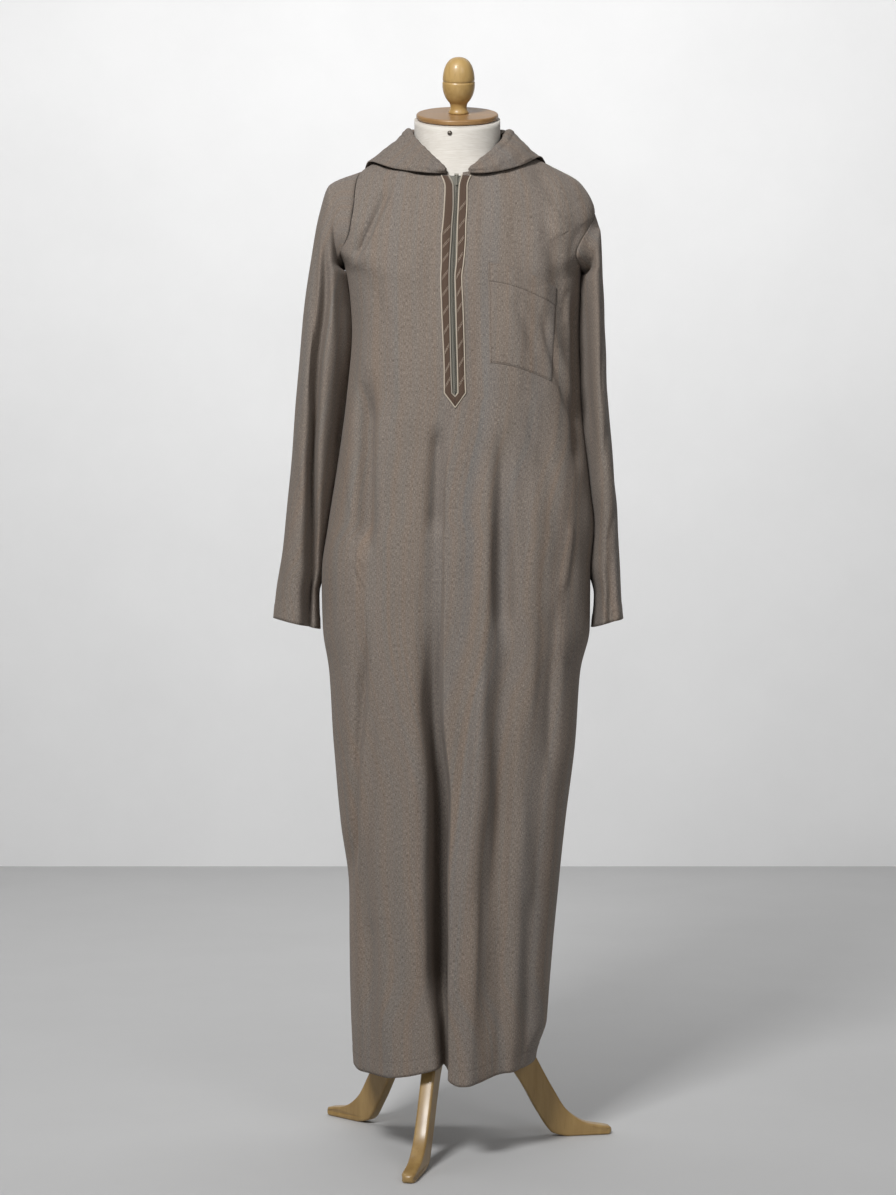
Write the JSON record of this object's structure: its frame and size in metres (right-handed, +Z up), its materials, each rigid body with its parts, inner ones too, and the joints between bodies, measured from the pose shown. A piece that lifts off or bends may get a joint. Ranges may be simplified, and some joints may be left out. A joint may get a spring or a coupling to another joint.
{
  "type": "hooded djellaba robe on a dress form",
  "caption": "Ankle-length hooded wool robe with a braid-trimmed half-length zip opening, hanging on a limbless dress form with a turned neck cap and a three-legged wooden stand.",
  "frame": {"origin": "centre of the bounding box, on the floor", "axes": "+Z up, +X to the viewer's right facing the robe, the robe's front towards -Y"},
  "size_m": [0.5422, 0.4407, 1.6811],
  "materials": {
    "wool": "matte wool twill",
    "braid": "matte herringbone braid",
    "piping": "satin cord",
    "zip_tape": "matte woven tape",
    "zip_metal": "dulled",
    "calico": "matte plain cloth",
    "beech": "satin varnish",
    "steel": "satin"
  },
  "bodies": {
    "root": {"front": "wool", "back": "wool", "sleeve_left": "wool", "sleeve_right": "wool", "hood_left": "wool", "hood_right": "wool", "chest_pocket": "wool", "pocket_bag_left": "wool", "pocket_bag_right": "wool", "braid_left": "braid", "braid_right": "braid", "piping_outer": "piping", "piping_inner": "piping", "zip_tape_left": "zip_tape", "zip_tape_right": "zip_tape", "zip_chain": "zip_metal", "zip_slider": "zip_metal", "torso_form": "calico", "neck_cap": "beech", "finial": "beech", "pole": "beech", "hub": "beech", "leg_left": "beech", "leg_right": "beech", "leg_front": "beech", "neck_pin": "steel"},
    "pull_tab": {"pull_tab": "zip_metal"}
  },
  "joints": [
    {"name": "pull_tab_hinge", "type": "hinge", "parent": "root", "child": "pull_tab", "pos_m": [0.0129, -0.05232, 1.48791], "axis": [-1, 0, 0], "range_deg": [0, 115]}
  ]
}
